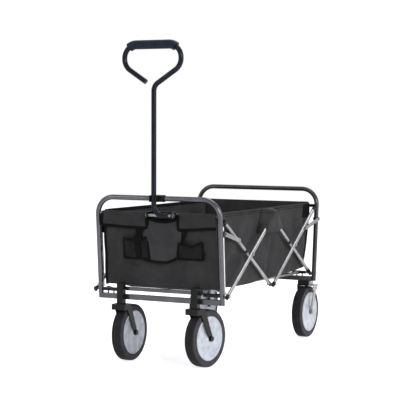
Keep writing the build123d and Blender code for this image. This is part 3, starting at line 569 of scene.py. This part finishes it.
# the basket's side cloths; folded is the share of its length that a cloth keeps at full fold,
# and the corner patch covers the grid's patchRows and patchColumns
sideLow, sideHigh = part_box("side_panel_right")
sideCloth = {
    "x": (sideLow.x + sideHigh.x) / 2, "columns": 240, "rows": 96,
    "seam": {"left": 0.0075, "right": 0.0015}, "seamWidth": 0.03, "legGap": 0.011, "inset": 0.001,
    "waves": (0.0012, 0.19, 11), "frontDepth": 0.6, "outRange": (-0.012, 0.005), "belly": 0.003,
    "hem": 0.0105, "hemSwell": 0.0016, "hemStep": 0.0007, "tied": 0.0028,
    "patchRows": slice(74, 95), "patchColumns": slice(224, -1), "folded": 0.215,
    "top": [(-0.385, 0.4815), (-0.200, 0.4795), (-0.020, 0.4775), (0.180, 0.4760), (0.366, 0.4745)],
    "bottom": [(-0.350, 0.2525), (-0.318, 0.2504), (-0.250, 0.2455), (-0.141, 0.2424), (-0.075, 0.2452),
               (0.020, 0.2436), (0.107, 0.2430), (0.220, 0.2455), (0.322, 0.2500)],
    "rear": [(0.253, 0.322), (0.275, 0.3245), (0.300, 0.3330), (0.340, 0.3500), (0.385, 0.3620),
             (0.430, 0.3660), (0.4765, 0.3660)],
    "creases": [
        (-0.350, 0.462, -0.260, 0.350, 0.016, 0.0035),
        (-0.370, 0.270, -0.235, 0.360, 0.015, -0.004),
        (-0.290, 0.258, -0.215, 0.320, 0.012, 0.003),
        (-0.120, 0.405, -0.190, 0.330, 0.014, -0.0045),
        (-0.090, 0.400, -0.030, 0.262, 0.016, 0.004),
        (0.050, 0.400, -0.010, 0.262, 0.016, -0.0035),
        (0.090, 0.405, 0.165, 0.330, 0.014, -0.0045),
        (0.200, 0.330, 0.310, 0.262, 0.013, 0.004),
        (0.230, 0.440, 0.320, 0.330, 0.018, 0.0045),
        (0.320, 0.470, 0.335, 0.330, 0.014, -0.0045),
        (-0.330, 0.440, -0.340, 0.300, 0.012, -0.003),
    ],
}
sideRear = throughPoints(sideCloth["rear"], 8)  # points of z, y up the side cloths' rear edge
sideFoot = throughPoints(sideCloth["bottom"], 12)  # points of y, z along the side cloths' lower edge


# along y by s and up z by t, both from 0 to 1; the lower and rear edges follow curves. The cloth moves out
# by creases, waves, a belly of sin(pi*t)*sin(pi*s) and a thicker hem, and in towards its front seam
def makeSideCloth(side, sign, d):
    top = throughPoints(d["top"], 12)
    t = np.linspace(0, 1, d["rows"])[:, None]
    s = np.linspace(0, 1, d["columns"])[None]
    topZ, bottomZ = [np.interp(ends[0][0] + s * (ends[-1][0] - ends[0][0]), curve[:, 0], curve[:, 1])
                     for ends, curve in ((d["top"], top), (d["bottom"], sideFoot))]
    gridZ = bottomZ + t * (topZ - bottomZ)
    startY = legY("front", gridZ) + d["legGap"]
    gridY = startY + s * (np.interp(gridZ, sideRear[:, 0], sideRear[:, 1]) - startY)
    push = (creasePush(gridY, gridZ, d["creases"]) * (1 + d["frontDepth"] * np.clip((1 - s) * 8, 0, 1))
            + clothWaves(gridY, gridZ, *d["waves"]))
    hold = np.clip(t * 6, 0, 1) * np.clip((1 - t) * 5, 0, 1)
    belly = d["belly"] * np.sin(np.pi * t) * np.sin(np.pi * s)
    hem = d["hemSwell"] / (1 + np.exp(-(gridZ - (topZ - d["hem"])) / d["hemStep"]))
    out = np.clip(push * (0.25 + 0.75 * hold) + belly, *d["outRange"]) + hem
    seam = d["seam"][side] * np.exp(-(s / d["seamWidth"]) ** 2)
    tied = d["tied"] * np.clip((s - 0.90) / 0.10, 0, 1) ** 2 * np.clip((t - 0.6) / 0.35, 0, 1)
    x = sign * (d["x"] + out - d["inset"] - seam + tied)
    points = stackPoints(x, gridY, gridZ)
    piece = gridPiece("sideCloth_" + side, points, basketCloth, "root",
                      thickness=clothThickness, flip=sign > 0)
    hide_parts("side_panel_" + side)

    outward = np.array([sign, 0, 0])
    down = np.array([0, 0, -1])
    head = points[-1, ::3]
    trims = [
        piece,
        sweepPiece("sideRim_" + side, head + 0.0010 * down, 0.0042, 0.0042, basketCloth, "root", steps=10),
        sweepPiece("sideBinding_" + side, head - 0.0028 * outward + 0.0045 * down, 0.0024, 0.0095,
                   bindingTape, "root", steps=10, power=4),
    ]
    for number, drop in enumerate((0.0052, d["hem"] + 0.0012)):
        seamZ = head[:, 2] - drop
        seamX = np.array([np.interp(z, gridZ[:, i], x[:, i])
                          for z, i in zip(seamZ, range(0, d["columns"], 3))])
        line = stackPoints(seamX + sign * 0.0007, head[:, 1], seamZ)
        trims.append(sweepPiece("sideSeam" + str(number) + "_" + side, line, 0.0008, 0.0015, bindingTape,
                                "root", steps=8, power=3))
    patchGrid = points[d["patchRows"], d["patchColumns"]] + 0.0013 * outward
    trims.append(gridPiece("cornerPatch_" + side, patchGrid, bindingTape, "root",
                           thickness=0.0010, flip=sign > 0))
    corner = points[14:-1:3, -1] + np.array([sign * 0.0008, -0.0040, 0])
    trims.append(sweepPiece("sideEdge_" + side, corner, 0.0120, 0.0034, bindingTape, "root", up=(1, 0, 0),
                            steps=10, power=4))
    for trim in trims:
        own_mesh(trim)


for side, sign in handSide.items():
    makeSideCloth(side, sign, sideCloth)

# the basket's rear cloth and floor
rearLow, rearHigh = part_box("rear_panel")
rearCloth = {
    "half": sideHigh.x - 0.001, "flatHalf": 0.120, "bottom": rearLow.z + 0.002, "top": rearHigh.z - 0.002,
    "columns": 130, "rows": 80, "sag": 0.004, "waves": (0.0016, 0.15, 7), "folded": 0.1,
    "tab": {"drop": 0.013, "overlap": 0.004, "section": (0.0024, 0.0105)},
}


# as the front cloth; its sides curve forward by f^2 to meet the side cloths' rear edges, with f from 0 at
# the flat part's edge to 1 at the side, and fold back onto the legs' plane
def makeRearCloth(d):
    gridX, t = np.meshgrid(np.linspace(-d["half"], d["half"], d["columns"]), np.linspace(0, 1, d["rows"]))
    a = gridX / d["half"]
    gridZ = np.clip(d["bottom"] + 0.004 * a ** 2 + t * (d["top"] - d["bottom"]), None, d["top"])
    push = clothWaves(gridX, gridZ, *d["waves"]) * (1 - a ** 6) * np.clip((1 - t) * 4, 0, 1)
    f = np.clip((np.abs(gridX) - d["flatHalf"]) / (d["half"] - d["flatHalf"]), 0, 1)
    gap = np.clip(legY("rear", gridZ) - np.interp(gridZ, sideRear[:, 0], sideRear[:, 1]), 0, None)
    y = legY("rear", gridZ) + push - d["sag"] * np.sin(np.pi * t) * (1 - a ** 2) - gap * f ** 2
    points = stackPoints(gridX, y, gridZ)
    piece = gridPiece("rearCloth", points, basketCloth, "rear_frame", thickness=clothThickness)
    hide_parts("rear_panel")
    tab = d["tab"]
    tabZ = d["top"] - tab["drop"]
    for side, sign in handSide.items():
        tabX = sign * np.linspace(d["half"] - tab["overlap"], rearHigh.x - 0.0005, 12)
        sweepPiece("rearTab_" + side, stackPoints(tabX, legY("rear", tabZ), tabZ), *tab["section"],
                   bindingTape, "rear_frame", up=(0, 0.001, 1), power=5)
    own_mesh(piece)
    return points[0]


rearFoot = makeRearCloth(rearCloth)

# the floor's halves rise at their sides to the side cloths' feet, and a strip at each end joins them to
# the end cloth's foot
floorCloth = {
    "half": 0.2000, "flatHalf": 0.115, "highest": 0.2500, "reach": 0.0007, "columns": 90, "rows": 70,
    "waves": (0.0007, 0.12, 21), "folded": 0.955, "stripFolded": 0.15,
}
floorEnds = {
    "front": {"foot": frontFoot, "body": "root", "inward": 1, "outerRow": 0},
    "rear": {"foot": rearFoot, "body": "rear_frame", "inward": -1, "outerRow": -1},
}


# z = flat height + rise*(3f^2-2f^3), with f from 0 at the flat part's edge to 1 at the side
def makeFloor(end, own, d):
    low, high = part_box(end + "_floor_cloth")
    flatZ = (low.z + high.z) / 2
    gridX, gridY = np.meshgrid(np.linspace(-d["half"], d["half"], d["columns"]),
                               np.linspace(low.y, high.y, d["rows"]) + own["inward"] * d["reach"])
    f = np.clip((np.abs(gridX) - d["flatHalf"]) / (d["half"] - d["flatHalf"]), 0, 1)
    rise = np.clip(np.interp(gridY, sideFoot[:, 0], sideFoot[:, 1]), None, d["highest"]) - flatZ
    gridZ = flatZ + rise * f ** 2 * (3 - 2 * f) + clothWaves(gridX, gridY, *d["waves"])
    points = stackPoints(gridX, gridY, gridZ)
    piece = gridPiece(end + "FloorCloth", points, basketCloth, end + "_floor",
                      thickness=clothThickness)
    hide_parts(end + "_floor_cloth")
    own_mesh(piece)

    foot = own["foot"]
    footX = np.linspace(foot[0, 0], foot[-1, 0], d["columns"])
    inner = stackPoints(footX, *[np.interp(footX, foot[:, 0], foot[:, i]) for i in (1, 2)])
    share = np.linspace(0, 1, 14)[:, None, None]
    strip = inner * (1 - share) + points[own["outerRow"]] * share
    stripPiece = gridPiece(end + "FloorEnd", strip, basketCloth, own["body"],
                           thickness=clothThickness)
    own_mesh(stripPiece)


for end, own in floorEnds.items():
    makeFloor(end, own, floorCloth)
print("side, rear and floor cloths")

# the patches over the bars' middle tops
patchLow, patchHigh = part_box("top_patches")
patch = {
    "top": 0.4775, "bottom": 0.404, "topHalf": 0.031, "bottomHalf": 0.088, "clothX": sideCloth["x"] + 0.0026,
    "outerX": patchHigh.x - 0.0010, "innerX": patchHigh.x - 0.0135, "rows": 56, "columns": 72, "folded": 0.55,
    "barTop": 0.4645, "barSlope": 1.572, "barClear": 0.010, "leastHalf": 0.017, "seam": 0.004,
}


# a sleeve sewn to the side cloth along its head and sides that bulges over the bars:
# x goes out to the bars over them and falls back to the cloth beside them by 1-f^2*(3-2f)
def makePatches(d):
    middleY = (patchLow.y + patchHigh.y) / 2
    t = np.linspace(0, 1, d["rows"])[:, None]
    s = np.linspace(-1, 1, d["columns"])[None]
    half = d["topHalf"] + (d["bottomHalf"] - d["topHalf"]) * t
    y = middleY + half * s
    z = d["top"] + t * (d["bottom"] - d["top"]) + 0.003 * s * t - 0.002 * t * np.cos(3.1 * s)
    reach = np.interp(s, (-1, 0.2, 1), (d["outerX"], d["outerX"], d["innerX"]))
    barAway = np.clip((d["barTop"] - z) * d["barSlope"], 0, None)
    flatHalf = np.minimum(np.clip(barAway + d["barClear"], d["leastHalf"], None), half - d["seam"])
    f = np.clip((np.abs(y - middleY) - flatHalf) / (half - flatHalf), 0, 1)
    bulge = (1 - f ** 2 * (3 - 2 * f)) * np.clip(t / 0.12, 0, 1) ** 0.5
    x = np.clip(d["clothX"] + (reach - d["clothX"]) * bulge, 0, patchHigh.x - 0.0008)
    for side, sign in handSide.items():
        points = stackPoints(sign * x, y, z)
        piece = gridPiece("topPatch_" + side, points, basketCloth, "top_joint",
                          thickness=clothThickness, flip=sign > 0)
        if side == "left":
            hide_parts("top_patches")
        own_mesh(piece)


makePatches(patch)
print("patches")

# the wheels: a ribbed tyre and a dished disc, as turned profiles of (across, radius)
tyre = {
    "radius": 0.090, "half": 0.018, "inner": 0.069, "treadPoints": 73,
    "grooves": [-0.0085, 0.0, 0.0085], "grooveDepth": 0.0016, "grooveWidth": 0.0011,
    "crownDrop": 0.0008, "shoulderDrop": 0.0062, "shoulderFrom": 0.72,
    "wall": [(0.0, 0.0825), (0.0006, 0.081), (0.0008, 0.0775), (0.0, 0.0765), (0.0, 0.0715),
             (0.0008, 0.0695)],
    # painted light: the sidewalls' paler colours, and the distances over which they blend in
    "dark": "#343438", "light": "#414146", "paintedLightFrom": 0.006, "paintedLightTo": 0.004,
}
wheelSteps = 144  # points round a wheel
discFace = [  # across and radius, from the rim's seat to the hub's bore
    (0.0172, 0.0689), (0.0180, 0.0680), (0.0180, 0.0662), (0.0168, 0.0648), (0.0156, 0.0625),
    (0.0148, 0.0560), (0.0143, 0.0450), (0.0142, 0.0330), (0.0149, 0.0240), (0.0163, 0.0185),
    (0.0182, 0.0150), (0.0193, 0.0132), (0.0195, 0.0115), (0.0195, 0.0090), (0.0180, 0.0080),
    (0.0180, 0.0052),
]


# tread radius = crown - drop*edge^2 - shoulder - grooves; then each wall, as insets from the half width
def tyreProfile(d):
    across = np.linspace(-d["half"], d["half"], d["treadPoints"])
    edge = np.abs(across) / d["half"]
    shoulder = np.clip((edge - d["shoulderFrom"]) / (1 - d["shoulderFrom"]), 0, 1) ** 2.2
    crown = d["radius"] - d["crownDrop"] * edge ** 2 - d["shoulderDrop"] * shoulder
    for groove in d["grooves"]:
        crown = crown - d["grooveDepth"] * np.exp(-((across - groove) / d["grooveWidth"]) ** 4)
    wall = np.array([(d["half"] - inset, radius) for inset, radius in d["wall"]])
    bead = d["half"] - 0.001
    inner = np.array([(bead, d["inner"]), (-bead, d["inner"])])
    return np.vstack([np.stack([across, crown], -1), wall, inner, wall[::-1] * np.array([-1, 1])])


# a dished web between a raised rim lip and a hub boss, the same on both sides
def discProfile(face):
    face = np.array(face)
    return np.vstack([face, face[::-1] * np.array([-1, 1])])


# a closed profile turned about the wheel's own axis, at the joint's place and direction
def turnProfile(name, profile, joint, material, body):
    centre = np.array(joint["pos_m"])
    axis = np.array(joint["axis"], float)
    axis /= np.linalg.norm(axis)
    turn = np.linspace(0, 2 * np.pi, wheelSteps, endpoint=False)
    around = np.cos(turn)[:, None] * np.cross((0, 0, 1), axis) + np.sin(turn)[:, None] * np.array((0, 0, 1.0))
    points = centre + profile[None, :, :1] * axis + profile[None, :, 1:] * around[:, None]
    piece = gridPiece(name, points, material, None, closed=(True, True))
    closeEnds(piece)
    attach(piece, body)
    return piece


# painted light: the sidewalls are paler than the tread, standing in for the key light on them; chosen by the
# length along the tyre's profile, which the UV map holds, and blended in between two distances from the tread's
# edge
def sidewallPaintedLight(material, d):
    tree = material.node_tree
    middle = lineLength(tyreProfile(d)[:d["treadPoints"]]) / 2
    place = addNode(tree, "ShaderNodeTexCoord")
    length = addNode(tree, "ShaderNodeSeparateXYZ", [("Vector", place.outputs["UV"])])
    away = addNode(tree, "ShaderNodeMath", [(0, length.outputs["X"])], [(1, middle)], operation="SUBTRACT")
    away = addNode(tree, "ShaderNodeMath", [(0, away.outputs[0])], operation="ABSOLUTE")
    wall = addNode(tree, "ShaderNodeMapRange", [("Value", away.outputs[0])],
                   [("From Min", middle - d["paintedLightFrom"]), ("From Max", middle - d["paintedLightTo"])])
    overColour(tree, place.outputs["Object"], wall.outputs["Result"], d["dark"], d["light"])


# painted light on the tyres' sidewalls
sidewallPaintedLight(tyreRubber, tyre)
wheelJoints = {joint["child"]: joint for joint in frame["joints"]}
for end in legLine:
    for side in handSide:
        body = end + "_wheel_" + side
        rubber = turnProfile("tyre_" + body, tyreProfile(tyre), wheelJoints[body], tyreRubber, body)
        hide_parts(end + "_tyre_" + side)
        plate = turnProfile("disc_" + body, discProfile(discFace), wheelJoints[body], wheelPlastic, body)
        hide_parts(end + "_disc_" + side)
print("wheels")

# floor, lamps and camera
stage = {"halfSize": 7.0, "floor": "#f4f4f4", "floorGlow": 0.72, "fill": "#f2f4f8", "fillStrength": 0.5}
white = (1, 1, 1, 1)


def emptyTree(owner):
    owner.use_nodes = True
    owner.node_tree.nodes.clear()
    return owner.node_tree


# 1 for rays straight from the camera and for each named kind, otherwise 0
def seenBy(tree, kinds):
    rays = addNode(tree, "ShaderNodeLightPath")
    seen = rays.outputs["Is Camera Ray"]
    for kind in kinds:
        seen = addNode(tree, "ShaderNodeMath", [(0, seen), (1, rays.outputs[kind])],
                       operation="MAXIMUM").outputs[0]
    return seen


world = bpy.data.worlds.new("studio")
bpy.context.scene.world = world
tree = emptyTree(world)
fill = addNode(tree, "ShaderNodeBackground",
               values=[("Color", hexColour(stage["fill"])), ("Strength", stage["fillStrength"])])
backdrop = addNode(tree, "ShaderNodeBackground", values=[("Color", white), ("Strength", 1.0)])
mix = addNode(tree, "ShaderNodeMixShader", [(0, seenBy(tree, ("Is Glossy Ray", "Is Transmission Ray"))),
                                            (1, fill.outputs[0]), (2, backdrop.outputs[0])])
addNode(tree, "ShaderNodeOutputWorld", [("Surface", mix.outputs[0])])

floorMesh = bpy.data.meshes.new("floor")
floorMesh.from_pydata([(x * stage["halfSize"], y * stage["halfSize"], 0)
                       for x, y in ((-1, -1), (1, -1), (1, 1), (-1, 1))], [], [(0, 1, 2, 3)])
floor = bpy.data.objects.new("floor", floorMesh)
bpy.context.scene.collection.objects.link(floor)
paper = bpy.data.materials.new("whitePaperFloor")
tree = emptyTree(paper)
matte = addNode(tree, "ShaderNodeBsdfDiffuse", values=[("Color", hexColour(stage["floor"]))])
glow = addNode(tree, "ShaderNodeEmission", values=[("Color", white), ("Strength", stage["floorGlow"])])
both = addNode(tree, "ShaderNodeAddShader", [(0, matte.outputs[0]), (1, glow.outputs[0])])
mix = addNode(tree, "ShaderNodeMixShader", [(0, seenBy(tree, ("Is Glossy Ray",))), (1, matte.outputs[0]),
                                            (2, both.outputs[0])])
addNode(tree, "ShaderNodeOutputMaterial", [("Surface", mix.outputs[0])])
floorMesh.materials.append(paper)

lamps = {
    "key": {"place": (3.2, -3.1, 2.0), "aim": (0, 0, 0.3), "size": (0.7, 0.8), "power": 72},
    "sideFill": {"place": (4.4, -0.2, 1.5), "aim": (0, 0, 0.3), "size": (2.2, 2.0), "power": 78},
    "frontFill": {"place": (-0.6, -4.6, 2.4), "aim": (0, 0, 0.4), "size": (2.6, 2.0), "power": 6},
    "leftStrip": {"place": (-2.4, -3.4, 2.3), "aim": (0, 0, 0.5), "size": (0.35, 1.6), "power": 20},
    "top": {"place": (0.4, 0.6, 4.2), "aim": (0, 0, 0.3), "size": (2.4, 2.4), "power": 70},
}
for name, d in lamps.items():
    lamp = bpy.data.lights.new(name, "AREA")
    lamp.shape = "RECTANGLE"
    lamp.size, lamp.size_y = d["size"]
    lamp.energy = d["power"]
    holder = bpy.data.objects.new(name, lamp)
    holder.location = d["place"]
    holder.rotation_euler = (Vector(d["aim"]) - Vector(d["place"])).to_track_quat("-Z", "Y").to_euler()
    bpy.context.scene.collection.objects.link(holder)

view = {
    "place": (1.903, -3.983, 0.759), "yaw": 25.90, "pitch": -3.59, "roll": 0.2,
    "lens": 115.8, "sensor": 36.0,
}
camera = bpy.data.cameras.new("camera")
camera.lens = view["lens"]
camera.sensor_width = view["sensor"]
eye = bpy.data.objects.new("camera", camera)
eye.rotation_mode = "XYZ"
eye.location = view["place"]
yaw, pitch, roll = [Matrix.Rotation(math.radians(angle), 4, axis) for angle, axis in (
    (view["yaw"], "Z"), (90 + view["pitch"], "X"), (view["roll"], "Z"))]
eye.rotation_euler = (yaw @ pitch @ roll).to_euler("XYZ")
bpy.context.scene.collection.objects.link(eye)
bpy.context.scene.camera = eye
bpy.context.scene.view_settings.view_transform = "Standard"
print("floor, lamps and camera")
